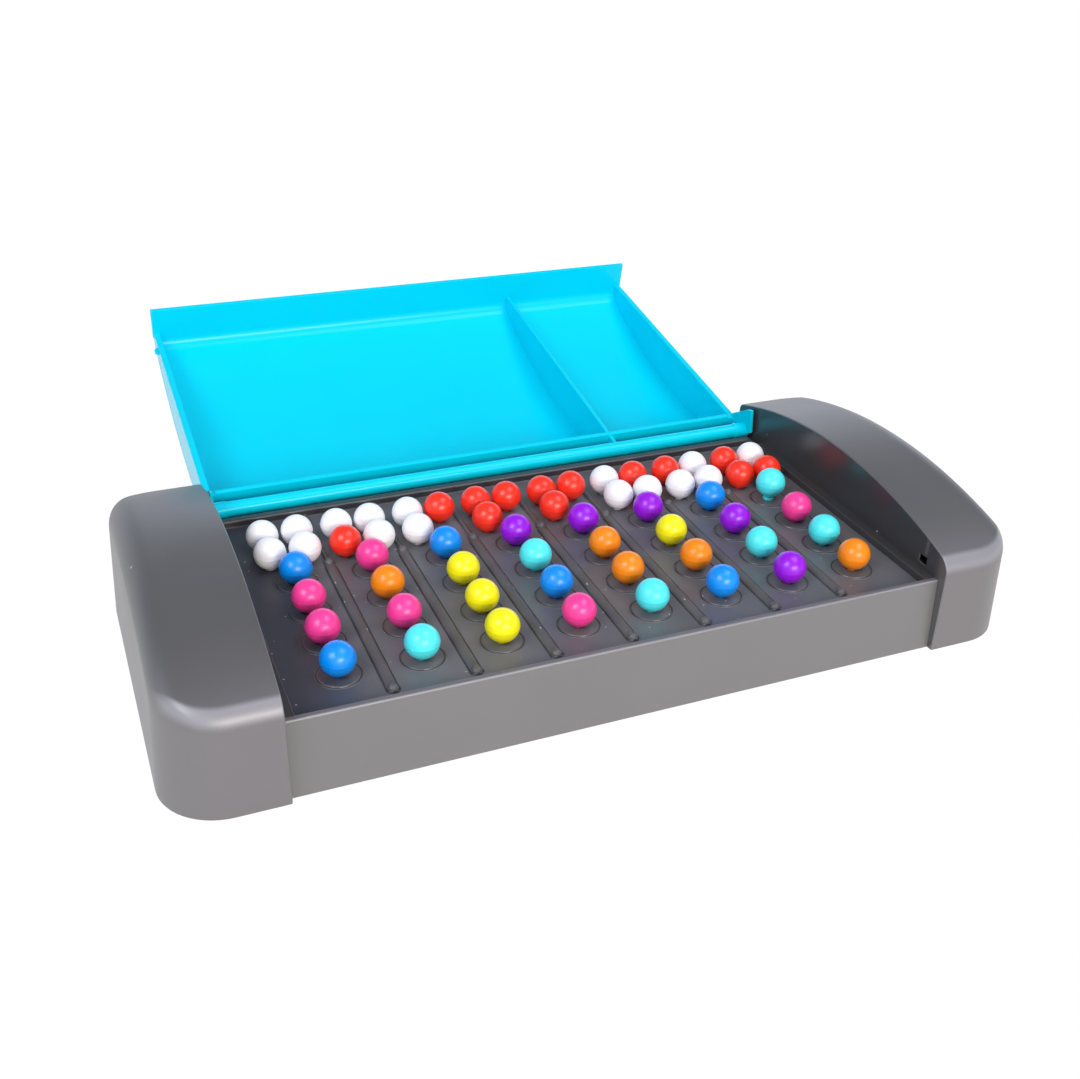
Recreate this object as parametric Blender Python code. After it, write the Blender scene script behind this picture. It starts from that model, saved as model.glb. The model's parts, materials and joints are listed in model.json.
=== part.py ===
# Code breaking peg game: a moulded housing with two arched end caps and a drilled deck, a base cover,
# a hinged tray lid that stands open, and ball-headed pegs. Metres, +Z up, +Y towards the hinge.
# The origin is the middle of the underside.
import math

import bmesh
import bpy
from mathutils import Matrix, Vector

# Pegs
BALL_RADIUS = 0.00525
COLLAR_RADIUS = 0.0022
COLLAR_STEP = 0.00020
STEM_RADIUS = 0.0017
STEM_LENGTH = 0.0069
STEM_CHAMFER = 0.0005
RAISED_PEG = 0.0010

# Peg field, from the left and from the front
COLUMNS = 8
ROWS = 4
KEY_SIDE_GAP = 0.0009
KEY_ROW_GAP = 0.0014
PAD_RADIUS = 0.0065
PAD_HEIGHT = 0.0003
PAD_GAP = 0.0043
END_MARGIN = 0.01965
FRONT_MARGIN = 0.0169
BACK_MARGIN = 0.0178
RIB_WIDTH = 0.0034
RIB_HEIGHT = 0.0009
RIB_NECK_WIDTH = 0.0018
RIB_SETBACK = 0.0031
RIB_TAPER = 0.0030
KNOB_RADIUS = 0.0012
KNOB_HEIGHT = 0.0014
KNOB_SETBACK = 0.0018
KNOB_PAST_ROW = 0.0080

# Housing: end caps
CAP_WIDTH = 0.0339
CAP_DRAFT = 0.0006
END_LEAN = 0.0026
CORNER_RADIUS = 0.0186
SHOULDER_WIDTH = 0.0083
SHOULDER_DROP = 0.0070
ARCH_FOOT_RISE = 0.0073
ARCH_RISE = 0.0121
ARCH_SETBACK = 0.0016
ARCH_FRONT_RADIUS = 0.0070
ARCH_BACK_RADIUS = 0.0028
WALL = 0.0022

# Housing: between the caps
RIM_TOP = 0.0250
FRONT_DRAFT = 0.0017
FRONT_RIM = 0.0022
SIDE_LEDGE = 0.0036
BACK_RIM = 0.0031
RECESS_DEPTH = 0.0029
DECK_THICKNESS = 0.0020
TROUGH_DEPTH = 0.0024

# Lid
OPEN_DEGREES = 170.15
HINGE_SETBACK = 0.0040
BEAD_RADIUS = 0.0027
KNUCKLE_RADIUS = 0.0030
KNUCKLE_WIDTH = 0.0060
PIN_RADIUS = 0.0015
PIN_BITE = 0.0016
LID_SHELL = 0.0018
LID_SIDE = 0.0024
LID_END_GAP = 0.0009
NEAR_WALL_CLEARANCE = 0.0009
NEAR_WALL_THICKNESS = 0.0020
NEAR_WALL_LAP = 0.0004
NEAR_WALL_RADIUS = 0.0020
LIP_SETBACK = 0.0007
LIP_CLEARANCE = 0.0014
LIP_LAP = 0.0100
LIP_THICKNESS = 0.0018
LIP_OVERHANG = 0.0004
DIVIDER_THICKNESS = 0.0014
DIVIDER_CLEARANCE = 0.0007
DIVIDER_AFTER_COLUMN = 6
WEB_THICKNESS = 0.0016

# Ears: the plates at the ends of the lid that carry its pins; shut, they hang into slots of the housing
EAR_THICKNESS = 0.0014
EAR_DEPTH = 0.0107
EAR_STEP = 0.0009
EAR_FOOT_FRONT = 0.0005
EAR_FOOT_BACK = 0.0028
EAR_BACK = 0.0054
EAR_HEEL = 0.0018
EAR_SHOULDER = 0.0021

# Catch: a nub on each lid side and a square hole in each cap
CATCH_SETBACK = 0.01255
CATCH_RISE = 0.0028
CATCH_WIDTH = 0.0031
CATCH_HEIGHT = 0.0022
CATCH_BITE = 0.0005
CATCH_GAP = 0.0004

# Base cover
BASE_THICKNESS = 0.0018

RUNNING_GAP = 0.0003
OVERRUN = 0.0010

# One word a column, left to right, and one letter a row, back to front
CODE_PEGS = ("bppb", "popt", "byyy", "vtbp", "voot", "vyob", "bvtv", "tpto")
# Back left, front left, back right and front right of each group; a dash is an empty hole
KEY_PEGS = ("wwww", "wrww", "wwr-", "rrr-", "rrr-", "wwrw", "rwww", "rrwr")
KEY_PLACES = (("back_left", -1, 1), ("front_left", -1, 0), ("back_right", 1, 1), ("front_right", 1, 0))
RAISED = (8, 4)
# Key pegs drawn as one with the housing, by column and place, to keep down the number of solids
FUSED_KEYS = ((4, "back_right"), (5, "back_right"), (6, "back_right"), (7, "back_right"))

PEG_COLOURS = {
    "b": ("blue", (0.003, 0.19, 0.87)),
    "p": ("pink", (1.0, 0.04, 0.32)),
    "o": ("orange", (1.0, 0.26, 0.01)),
    "y": ("yellow", (1.0, 0.80, 0.0)),
    "v": ("violet", (0.25, 0.006, 0.87)),
    "t": ("turquoise", (0.03, 0.79, 0.87)),
    "r": ("red", (1.0, 0.024, 0.01)),
    "w": ("white", (0.98, 0.97, 1.0)),
}

COLLAR_DROP = BALL_RADIUS + COLLAR_STEP
STEM_DROP = COLLAR_DROP + STEM_LENGTH

# Across: the lid's divider passes between two groups of key pegs
KEY_PITCH_X = 2 * BALL_RADIUS + KEY_SIDE_GAP
COLUMN_PITCH = KEY_PITCH_X + 2 * BALL_RADIUS + DIVIDER_THICKNESS + 2 * DIVIDER_CLEARANCE
CAP_FACE = (COLUMNS - 1) / 2 * COLUMN_PITCH + END_MARGIN
HALF_LENGTH = CAP_FACE + CAP_WIDTH
LID_HALF = CAP_FACE - LID_END_GAP

# From front to back
FRONT_SETBACK = LIP_SETBACK + LIP_THICKNESS + LIP_CLEARANCE - FRONT_DRAFT
ROW_PITCH = 2 * PAD_RADIUS + PAD_GAP
KEY_PITCH_Y = 2 * BALL_RADIUS + KEY_ROW_GAP
CODE_DEPTH = (ROWS - 1) * ROW_PITCH
NEAR_WALL = HINGE_SETBACK + BACK_RIM + NEAR_WALL_CLEARANCE
RECESS_LENGTH = FRONT_MARGIN + CODE_DEPTH + 2 * KEY_PITCH_Y + BACK_MARGIN
TO_RECESS = FRONT_SETBACK + FRONT_DRAFT + FRONT_RIM
HALF_DEPTH = (TO_RECESS + RECESS_LENGTH + BACK_RIM + HINGE_SETBACK + NEAR_WALL) / 2
RECESS_FRONT = TO_RECESS - HALF_DEPTH
RECESS_BACK = RECESS_FRONT + RECESS_LENGTH
FRONT_ROW = RECESS_FRONT + FRONT_MARGIN
BACK_ROW = FRONT_ROW + CODE_DEPTH
KEY_FRONT_ROW = BACK_ROW + KEY_PITCH_Y
HINGE_Y = RECESS_BACK + BACK_RIM + HINGE_SETBACK
LIP_FACE = HALF_DEPTH - LIP_SETBACK
CATCH_Y = CATCH_SETBACK - HALF_DEPTH
RIB_FRONT = RECESS_FRONT + RIB_SETBACK
KNOB_FRONT = RIB_FRONT + KNOB_SETBACK
KNOB_REAR = BACK_ROW + KNOB_PAST_ROW

# Upwards
DECK_TOP = RIM_TOP - RECESS_DEPTH
TROUGH_TOP = RIM_TOP - TROUGH_DEPTH
HINGE_Z = TROUGH_TOP + RUNNING_GAP + KNUCKLE_RADIUS
LID_EDGE = RIM_TOP + RUNNING_GAP
LIP_FOOT = RIM_TOP - LIP_LAP
CATCH_Z = RIM_TOP + CATCH_RISE
ARCH_TOP = RIM_TOP + ARCH_FOOT_RISE + ARCH_RISE
ARCH_REACH = HALF_DEPTH - CAP_DRAFT
ARCH_RADIUS = ((ARCH_REACH + ARCH_SETBACK) ** 2 + ARCH_RISE ** 2) / (2 * ARCH_RISE)
EAR_SWEEP = math.hypot(EAR_FOOT_BACK, EAR_DEPTH)

HOLE_SIDES = 8
HOLE_RADIUS = (STEM_RADIUS + RUNNING_GAP) / math.cos(math.pi / HOLE_SIDES)
FILLET_STEPS = 5
ARCH_STEPS = 10
CORNER_STEPS = 5
PEG_SIDES = 8
PAD_SIDES = 12
KNOB_SIDES = 6


def plastic(name, colour, roughness):
    material = bpy.data.materials.new(name)
    material.use_nodes = True
    shader = material.node_tree.nodes["Principled BSDF"]
    shader.inputs["Base Color"].default_value = (*colour, 1)
    shader.inputs["Roughness"].default_value = roughness
    shader.inputs["Metallic"].default_value = 0
    return material


def add_object(name, bm, material=None):
    bmesh.ops.recalc_face_normals(bm, faces=bm.faces[:])
    mesh = bpy.data.meshes.new(name)
    bm.to_mesh(mesh)
    bm.free()
    thing = bpy.data.objects.new(name, mesh)
    bpy.context.collection.objects.link(thing)
    if material:
        mesh.materials.append(material)
    return thing


# A named solid that only cuts or joins another one
def add_tool(name, bm):
    thing = add_object(name, bm)
    thing.hide_render = True
    thing.display_type = "WIRE"
    return thing


def combine(target, tool, operation):
    step = target.modifiers.new(tool.name, "BOOLEAN")
    step.operation = operation
    step.solver = "EXACT"
    step.object = tool


# A solid through matching outlines: each section is a list of points
def loft(bm, sections):
    rings = [[bm.verts.new(point) for point in section] for section in sections]
    for first, second in zip(rings, rings[1:]):
        for i in range(len(first)):
            j = (i + 1) % len(first)
            bm.faces.new((first[i], first[j], second[j], second[i]))
    bm.faces.new(rings[0])
    bm.faces.new(rings[-1])


def along_x(bm, outline, x_from, x_to):
    loft(bm, [[(x, y, z) for y, z in outline] for x in (x_from, x_to)])


def box(bm, low, high):
    outline = [(low[1], low[2]), (high[1], low[2]), (high[1], high[2]), (low[1], high[2])]
    along_x(bm, outline, low[0], high[0])


def ring(radius, x, y, z, sides):
    turns = [2 * math.pi * (k + 0.5) / sides for k in range(sides)]
    return [(x + radius * math.cos(a), y + radius * math.sin(a), z) for a in turns]


def rod_along_x(bm, radius, x_from, x_to, sides):
    turns = [2 * math.pi * (k + 0.5) / sides for k in range(sides)]
    outline = [(HINGE_Y + radius * math.cos(a), HINGE_Z + radius * math.sin(a)) for a in turns]
    along_x(bm, outline, x_from, x_to)


# Height of the arched top over y, seen from the end; inset moves the whole curve inwards
def arch_z(y, inset=0.0):
    radius = ARCH_RADIUS - inset
    return ARCH_TOP - ARCH_RADIUS + math.sqrt(radius ** 2 - (y - ARCH_SETBACK) ** 2)


# Points of the round between an upright face at y = side * face and the arch, from the face upwards
def arch_end(side, face, end_radius, inset=0.0, drop=0.0):
    radius = ARCH_RADIUS - inset
    reach = face - side * ARCH_SETBACK - end_radius
    centre_z = ARCH_TOP - ARCH_RADIUS - drop + math.sqrt((radius - end_radius) ** 2 - reach ** 2)
    lean = math.asin(reach / (radius - end_radius))
    points = []
    for k in range(FILLET_STEPS + 1):
        a = math.pi / 2 - (math.pi / 2 - lean) * k / FILLET_STEPS
        y = ARCH_SETBACK + side * (reach + end_radius * math.sin(a))
        points.append((y, centre_z + end_radius * math.cos(a)))
    return points


# Outline of an end cap at one place along it: drafted faces and an arch with rounded ends
def cap_outline(half_depth, foot_z, inset, drop):
    front = arch_end(-1, half_depth - CAP_DRAFT, ARCH_FRONT_RADIUS - inset, inset, drop)
    back = arch_end(1, half_depth - CAP_DRAFT, ARCH_BACK_RADIUS - inset, inset, drop)
    start, stop = front[-1][0], back[-1][0]
    top = []
    for k in range(1, ARCH_STEPS):
        y = start + (stop - start) * k / ARCH_STEPS
        top.append((y, arch_z(y, inset) - drop))
    return [(-half_depth, foot_z)] + front + top + back[::-1] + [(half_depth, foot_z)]


# The end of a cap leans inwards as it rises, and its inner face stays plumb
def lean_in(side, x, z):
    return side * (x - END_LEAN * z / ARCH_TOP * (x - CAP_FACE) / CAP_WIDTH)


# The cap from its inner face outwards: plan corners are quarter circles and the shoulder is a quarter ellipse
def cap_sections(side, start, foot_z, inset):
    corner = CORNER_RADIUS - inset
    width = SHOULDER_WIDTH - inset
    depth = SHOULDER_DROP - inset
    end = HALF_LENGTH - inset
    places = [(start, 0.0, 0.0)]
    for k in range(CORNER_STEPS + 1):
        a = math.pi / 2 * k / CORNER_STEPS
        x = end - corner + corner * math.sin(a)
        past = max(0.0, x - (end - width)) / width
        drop = depth * (1 - math.sqrt(max(0.0, 1 - past ** 2)))
        places.append((x, corner - corner * math.cos(a), drop))
    half_depth = HALF_DEPTH - inset
    return [
        [(lean_in(side, x, z), y, z) for y, z in cap_outline(half_depth - tuck, foot_z, inset, drop)]
        for x, tuck, drop in places
    ]


def front_face(z):
    return -(HALF_DEPTH - FRONT_SETBACK) + FRONT_DRAFT * z / RIM_TOP


def column_x(column):
    return (column - (COLUMNS + 1) / 2) * COLUMN_PITCH


def code_row_y(row):
    return FRONT_ROW + (row - 1) * ROW_PITCH


def code_places():
    return [(column_x(c), code_row_y(r)) for c in range(1, COLUMNS + 1) for r in range(1, ROWS + 1)]


def key_place(column, side, row):
    return column_x(column) + side * KEY_PITCH_X / 2, KEY_FRONT_ROW + row * KEY_PITCH_Y


def key_places(fused):
    return [
        key_place(column, side, row)
        for column in range(1, COLUMNS + 1)
        for word, side, row in KEY_PLACES
        if ((column, word) in FUSED_KEYS) == fused
    ]


def make_middle():
    bm = bmesh.new()
    back_lean = CAP_DRAFT * TROUGH_TOP / ARCH_TOP
    rim_back = RECESS_BACK + BACK_RIM
    outline = [
        (front_face(0), 0),
        (front_face(RIM_TOP), RIM_TOP),
        (rim_back, RIM_TOP),
        (rim_back, TROUGH_TOP),
        (HALF_DEPTH - back_lean, TROUGH_TOP),
        (HALF_DEPTH, 0),
    ]
    reach = CAP_FACE + WALL / 2
    along_x(bm, outline, -reach, reach)
    return bm


def make_middle_hollow():
    bm = bmesh.new()
    under = DECK_TOP - DECK_THICKNESS
    outline = [
        (front_face(-OVERRUN) + WALL, -OVERRUN),
        (front_face(under) + WALL, under),
        (HALF_DEPTH - WALL - CAP_DRAFT, under),
        (HALF_DEPTH - WALL, -OVERRUN),
    ]
    reach = CAP_FACE + WALL + OVERRUN
    along_x(bm, outline, -reach, reach)
    return bm


def make_recess():
    bm = bmesh.new()
    reach = CAP_FACE - SIDE_LEDGE
    box(bm, (-reach, RECESS_FRONT, DECK_TOP), (reach, RECESS_BACK, RIM_TOP + OVERRUN))
    return bm


def make_pads():
    bm = bmesh.new()
    for x, y in code_places():
        foot, top = DECK_TOP - DECK_THICKNESS / 2, DECK_TOP + PAD_HEIGHT
        loft(bm, [ring(PAD_RADIUS, x, y, z, PAD_SIDES) for z in (foot, top)])
    return bm


def make_peg_holes():
    bm = bmesh.new()
    for x, y in code_places() + key_places(fused=False):
        foot, top = DECK_TOP - DECK_THICKNESS - OVERRUN, DECK_TOP + PAD_HEIGHT + OVERRUN
        loft(bm, [ring(HOLE_RADIUS, x, y, z, HOLE_SIDES) for z in (foot, top)])
    return bm


# A rib between two columns: round-backed, wide beside the code holes and narrow beside the key holes
def rib_section(x, y, width):
    points = []
    for k in range(5):
        a = math.pi * k / 4
        points.append((x - width / 2 * math.cos(a), y, DECK_TOP + RIB_HEIGHT * math.sin(a)))
    sunk = DECK_TOP - DECK_THICKNESS / 2
    return [(x - width / 2, y, sunk)] + points + [(x + width / 2, y, sunk)]


def make_ribs():
    bm = bmesh.new()
    into_rim = RECESS_BACK + BACK_RIM / 2
    for column in range(1, COLUMNS):
        x = column_x(column) + COLUMN_PITCH / 2
        places = [
            (RIB_FRONT, RIB_NECK_WIDTH),
            (RIB_FRONT + RIB_WIDTH / 2, RIB_WIDTH),
            (KNOB_REAR - RIB_TAPER / 2, RIB_WIDTH),
            (KNOB_REAR + RIB_TAPER / 2, RIB_NECK_WIDTH),
            (into_rim, RIB_NECK_WIDTH),
        ]
        loft(bm, [rib_section(x, y, width) for y, width in places])
    return bm


# Small round-topped knobs that stand on each rib
def make_knobs():
    bm = bmesh.new()
    foot = DECK_TOP + RIB_HEIGHT / 3
    shoulder = KNOB_RADIUS * math.sqrt(0.5)
    crown = KNOB_RADIUS - shoulder
    for column in range(1, COLUMNS):
        x = column_x(column) + COLUMN_PITCH / 2
        for y in (KNOB_FRONT, KNOB_REAR):
            loft(bm, [
                ring(KNOB_RADIUS, x, y, foot, KNOB_SIDES),
                ring(KNOB_RADIUS, x, y, DECK_TOP + KNOB_HEIGHT - crown, KNOB_SIDES),
                ring(shoulder, x, y, DECK_TOP + KNOB_HEIGHT, KNOB_SIDES),
            ])
    return bm


def make_fused_pegs():
    bm = bmesh.new()
    for x, y in key_places(fused=True):
        turn_peg(bm, x, y, DECK_TOP + RUNNING_GAP + COLLAR_DROP)
    return bm


def make_catch_holes():
    bm = bmesh.new()
    half_y = CATCH_WIDTH / 2 + CATCH_GAP
    half_z = CATCH_HEIGHT / 2 + CATCH_GAP
    for side in (-1, 1):
        near, far = side * (CAP_FACE - OVERRUN), side * (CAP_FACE + WALL + OVERRUN)
        low = (min(near, far), CATCH_Y - half_y, CATCH_Z - half_z)
        box(bm, low, (max(near, far), CATCH_Y + half_y, CATCH_Z + half_z))
    return bm


def make_pin_holes():
    bm = bmesh.new()
    for side in (-1, 1):
        near, far = side * (CAP_FACE - OVERRUN), side * (CAP_FACE + WALL + OVERRUN)
        rod_along_x(bm, PIN_RADIUS + RUNNING_GAP, near, far, 12)
    return bm


def make_ear_slots():
    bm = bmesh.new()
    foot = DECK_TOP - DECK_THICKNESS - OVERRUN
    inner = LID_HALF - EAR_THICKNESS - RUNNING_GAP
    front, back = HINGE_Y - EAR_SWEEP - RUNNING_GAP, HINGE_Y + EAR_BACK + RUNNING_GAP
    for low, high in ((-CAP_FACE, -inner), (inner, CAP_FACE)):
        box(bm, (low, front, foot), (high, back, RIM_TOP + OVERRUN))
    return bm


def make_housing(material):
    caps, hollows = [], []
    for side, word in ((-1, "left"), (1, "right")):
        bm = bmesh.new()
        loft(bm, cap_sections(side, CAP_FACE, 0.0, 0.0))
        caps.append(add_tool(word + "_cap", bm))
        bm = bmesh.new()
        loft(bm, cap_sections(side, CAP_FACE + WALL, -OVERRUN, WALL))
        hollows.append(add_tool(word + "_cap_hollow", bm))
    housing = add_object("housing", make_middle(), material)
    for cap in caps:
        combine(housing, cap, "UNION")
    for hollow in hollows + [add_tool("middle_hollow", make_middle_hollow())]:
        combine(housing, hollow, "DIFFERENCE")
    combine(housing, add_tool("recess", make_recess()), "DIFFERENCE")
    combine(housing, add_tool("pads", make_pads()), "UNION")
    combine(housing, add_tool("ribs", make_ribs()), "UNION")
    combine(housing, add_tool("knobs", make_knobs()), "UNION")
    combine(housing, add_tool("peg_holes", make_peg_holes()), "DIFFERENCE")
    combine(housing, add_tool("fused_pegs", make_fused_pegs()), "UNION")
    combine(housing, add_tool("catch_holes", make_catch_holes()), "DIFFERENCE")
    combine(housing, add_tool("pin_holes", make_pin_holes()), "DIFFERENCE")
    combine(housing, add_tool("ear_slots", make_ear_slots()), "DIFFERENCE")
    return housing


# The cover lies inside the foot of the walls, with a running gap all round
def make_base_cover(material):
    gap = WALL + RUNNING_GAP
    half_depth = HALF_DEPTH - gap - CAP_DRAFT * BASE_THICKNESS / ARCH_TOP
    front = -front_face(BASE_THICKNESS) - gap
    corner = CORNER_RADIUS - gap
    end = lean_in(1, HALF_LENGTH, BASE_THICKNESS) - gap
    step = CAP_FACE + gap
    right = [(step, -front), (step, -half_depth)]
    for k in range(CORNER_STEPS + 1):
        a = math.pi / 2 * k / CORNER_STEPS
        x, y = end - corner + corner * math.sin(a), half_depth - corner + corner * math.cos(a)
        right.append((x, -y))
    right += [(x, -y) for x, y in reversed(right[2:])]
    outline = right + [(-x, y) for x, y in reversed(right)]
    bm = bmesh.new()
    loft(bm, [[(x, y, z) for x, y in outline] for z in (0.0, BASE_THICKNESS)])
    return add_object("base_cover", bm, material)


# Ball, collar and stem, turned about the peg's own axis; its origin is the middle of the ball
def turn_peg(bm, x, y, z):
    profile = []
    for k in range(1, 5):
        a = math.pi * k / 5
        profile.append((BALL_RADIUS * math.sin(a), BALL_RADIUS * math.cos(a)))
    profile += [
        (COLLAR_RADIUS, -COLLAR_DROP),
        (STEM_RADIUS, -COLLAR_DROP),
        (STEM_RADIUS, -STEM_DROP + STEM_CHAMFER),
    ]
    rings = [[bm.verts.new(point) for point in ring(r, x, y, z + rise, PEG_SIDES)] for r, rise in profile]
    top = bm.verts.new((x, y, z + BALL_RADIUS))
    tip = bm.verts.new((x, y, z - STEM_DROP))
    for first, second in zip(rings, rings[1:]):
        for i in range(PEG_SIDES):
            j = (i + 1) % PEG_SIDES
            bm.faces.new((first[i], first[j], second[j], second[i]))
    for i in range(PEG_SIDES):
        j = (i + 1) % PEG_SIDES
        bm.faces.new((top, rings[0][j], rings[0][i]))
        bm.faces.new((tip, rings[-1][i], rings[-1][j]))


def peg_mesh(material, name):
    bm = bmesh.new()
    turn_peg(bm, 0, 0, 0)
    bmesh.ops.recalc_face_normals(bm, faces=bm.faces[:])
    mesh = bpy.data.meshes.new(name)
    bm.to_mesh(mesh)
    bm.free()
    mesh.shade_smooth()
    mesh.set_sharp_from_angle(angle=math.radians(60))
    mesh.materials.append(material)
    return mesh


def place_peg(name, mesh, x, y, seat):
    peg = bpy.data.objects.new(name, mesh)
    peg.location = (x, y, seat + RUNNING_GAP + COLLAR_DROP)
    bpy.context.collection.objects.link(peg)


def make_pegs():
    meshes = {}
    for letter, (word, colour) in PEG_COLOURS.items():
        meshes[letter] = peg_mesh(plastic(word + "_abs", colour, 0.25), word + "_peg")
    for column in range(1, COLUMNS + 1):
        for back, letter in enumerate(CODE_PEGS[column - 1]):
            row = ROWS - back
            seat = DECK_TOP + PAD_HEIGHT + (RAISED_PEG if (column, row) == RAISED else 0.0)
            name = f"code_peg_{column}_{row}"
            place_peg(name, meshes[letter], column_x(column), code_row_y(row), seat)
        for (word, side, row), letter in zip(KEY_PLACES, KEY_PEGS[column - 1]):
            if letter != "-" and (column, word) not in FUSED_KEYS:
                x, y = key_place(column, side, row)
                place_peg(f"key_peg_{column}_{word}", meshes[letter], x, y, DECK_TOP)


# The lid is drawn shut, between the caps and flush with their arch, and then turned about its hinge
def lid_shell_outline():
    near = HINGE_Y - NEAR_WALL
    outer = [(-LIP_FACE, LIP_FOOT)] + arch_end(-1, LIP_FACE, ARCH_FRONT_RADIUS)
    inside = LIP_FACE - LIP_THICKNESS
    inner = [(-inside, LIP_FOOT)] + arch_end(-1, inside, ARCH_FRONT_RADIUS - LIP_THICKNESS, LID_SHELL)
    start, stop = outer[-1][0], near - NEAR_WALL_RADIUS
    for k in range(1, ARCH_STEPS + 1):
        y = start + (stop - start) * k / ARCH_STEPS
        outer.append((y, arch_z(y)))
    outer += [(near, arch_z(near) - NEAR_WALL_RADIUS), (near, LID_EDGE)]
    start, stop = inner[-1][0], near - NEAR_WALL_THICKNESS
    for k in range(1, ARCH_STEPS + 1):
        y = start + (stop - start) * k / ARCH_STEPS
        inner.append((y, arch_z(y, LID_SHELL)))
    inner.append((stop, LID_EDGE))
    return outer + inner[::-1]


# An upright panel under the shell, as deep as the side walls: the sides and the divider
def panel_outline():
    lip = LIP_FACE - LIP_THICKNESS / 2
    near = HINGE_Y - NEAR_WALL - NEAR_WALL_THICKNESS / 2
    outline = [(-lip, LID_EDGE)]
    outline += arch_end(-1, lip, ARCH_FRONT_RADIUS - LIP_THICKNESS / 2, LID_SHELL / 2)
    start = outline[-1][0]
    for k in range(1, ARCH_STEPS + 1):
        y = start + (near - start) * k / ARCH_STEPS
        outline.append((y, arch_z(y, LID_SHELL / 2)))
    return outline + [(near, LID_EDGE)]


# A web from the near wall to the bead; opened, its far edge lies a running gap over the trough
def web_outline():
    lean = math.radians(180 - OPEN_DEGREES)
    rest = TROUGH_TOP + RUNNING_GAP
    near = NEAR_WALL + NEAR_WALL_THICKNESS / 2

    def far_edge(reach):
        return (HINGE_Z - rest + reach * math.sin(lean)) / math.cos(lean)

    low = HINGE_Z - LID_EDGE
    return [
        (HINGE_Y - near, HINGE_Z - low),
        (HINGE_Y, HINGE_Z - low),
        (HINGE_Y, HINGE_Z + far_edge(0.0)),
        (HINGE_Y - near, HINGE_Z + far_edge(near)),
    ]


# An ear, seen from the end of the shut lid: from the side wall down round the pin
def ear_outline():
    near = HINGE_Y - NEAR_WALL
    return [
        (near - NEAR_WALL_THICKNESS, HINGE_Z),
        (near - NEAR_WALL_THICKNESS / 2, HINGE_Z - EAR_SHOULDER),
        (HINGE_Y + EAR_FOOT_FRONT, HINGE_Z - EAR_DEPTH + EAR_STEP),
        (HINGE_Y + EAR_FOOT_BACK, HINGE_Z - EAR_DEPTH),
        (HINGE_Y + EAR_BACK, HINGE_Z - EAR_HEEL),
        (HINGE_Y + PIN_RADIUS, HINGE_Z + PIN_RADIUS),
    ]


def make_lid(material):
    bm = bmesh.new()
    along_x(bm, lid_shell_outline(), -LID_HALF, LID_HALF)
    lid = add_object("lid", bm, material)

    panels = bmesh.new()
    webs = bmesh.new()
    divider_x = column_x(DIVIDER_AFTER_COLUMN) + COLUMN_PITCH / 2
    divider_half = DIVIDER_THICKNESS / 2
    along_x(panels, panel_outline(), divider_x - divider_half, divider_x + divider_half)
    along_x(webs, web_outline(), divider_x - divider_half, divider_x + divider_half)
    for side in (-1, 1):
        wall = sorted((side * LID_HALF, side * (LID_HALF - LID_SIDE)))
        web = sorted((side * LID_HALF, side * (LID_HALF - WEB_THICKNESS)))
        along_x(panels, panel_outline(), *wall)
        along_x(webs, web_outline(), *web)

    bead = bmesh.new()
    rod_along_x(bead, BEAD_RADIUS, -LID_HALF, LID_HALF, 14)
    knuckles = bmesh.new()
    pins = bmesh.new()
    nubs = bmesh.new()
    for side in (-1, 1):
        rod_along_x(knuckles, KNUCKLE_RADIUS, side * (LID_HALF - KNUCKLE_WIDTH), side * LID_HALF, 14)
        rod_along_x(pins, PIN_RADIUS, side * (LID_HALF - KNUCKLE_WIDTH / 2), side * (CAP_FACE + PIN_BITE), 12)
        root, tip = side * (LID_HALF - LID_SIDE / 2), side * (CAP_FACE + CATCH_BITE)
        loft(nubs, [
            nub_section(root, CATCH_WIDTH, CATCH_HEIGHT),
            nub_section(side * LID_HALF, CATCH_WIDTH, CATCH_HEIGHT),
            nub_section(tip, CATCH_WIDTH / 2, CATCH_HEIGHT / 2),
        ])
    ends = bmesh.new()
    ears = bmesh.new()
    for side in (-1, 1):
        root, tip = side * (LID_HALF - LID_SIDE), side * (LID_HALF + LIP_OVERHANG)
        along_x(ends, lip_end_outline(), root, tip)
        along_x(ears, ear_outline(), side * (LID_HALF - EAR_THICKNESS), side * LID_HALF)
    hem = bmesh.new()
    near = HINGE_Y - NEAR_WALL
    hem_half = CAP_FACE - SIDE_LEDGE - NEAR_WALL_CLEARANCE
    low = (-hem_half, near - NEAR_WALL_THICKNESS, RIM_TOP - NEAR_WALL_LAP)
    box(hem, low, (hem_half, near, LID_EDGE + NEAR_WALL_THICKNESS))
    names = ("panels", "webs", "bead", "knuckles", "pins", "nubs", "lip_ends", "hem", "ears")
    meshes = (panels, webs, bead, knuckles, pins, nubs, ends, hem, ears)
    tools = [add_tool("lid_" + n, m) for n, m in zip(names, meshes)]
    for tool in tools:
        combine(lid, tool, "UNION")

    hinge = bpy.data.objects.new("lid_hinge", None)
    hinge.location = (0, HINGE_Y, HINGE_Z)
    bpy.context.collection.objects.link(hinge)
    for thing in [lid] + tools:
        thing.parent = hinge
        thing.matrix_parent_inverse = Matrix.Translation(Vector((0, -HINGE_Y, -HINGE_Z)))
    hinge.rotation_euler = (-math.radians(OPEN_DEGREES), 0, 0)
    return lid


def nub_section(x, width, height):
    low, high = CATCH_Z - height / 2, CATCH_Z + height / 2
    front, back = CATCH_Y - width / 2, CATCH_Y + width / 2
    return [(x, front, low), (x, back, low), (x, back, high), (x, front, high)]


# The lip runs on a little past the side walls
def lip_end_outline():
    inside = LIP_FACE - LIP_THICKNESS
    top = arch_end(-1, LIP_FACE, ARCH_FRONT_RADIUS)[0][1]
    return [(-LIP_FACE, LIP_FOOT), (-inside, LIP_FOOT), (-inside, top), (-LIP_FACE, top)]


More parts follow.
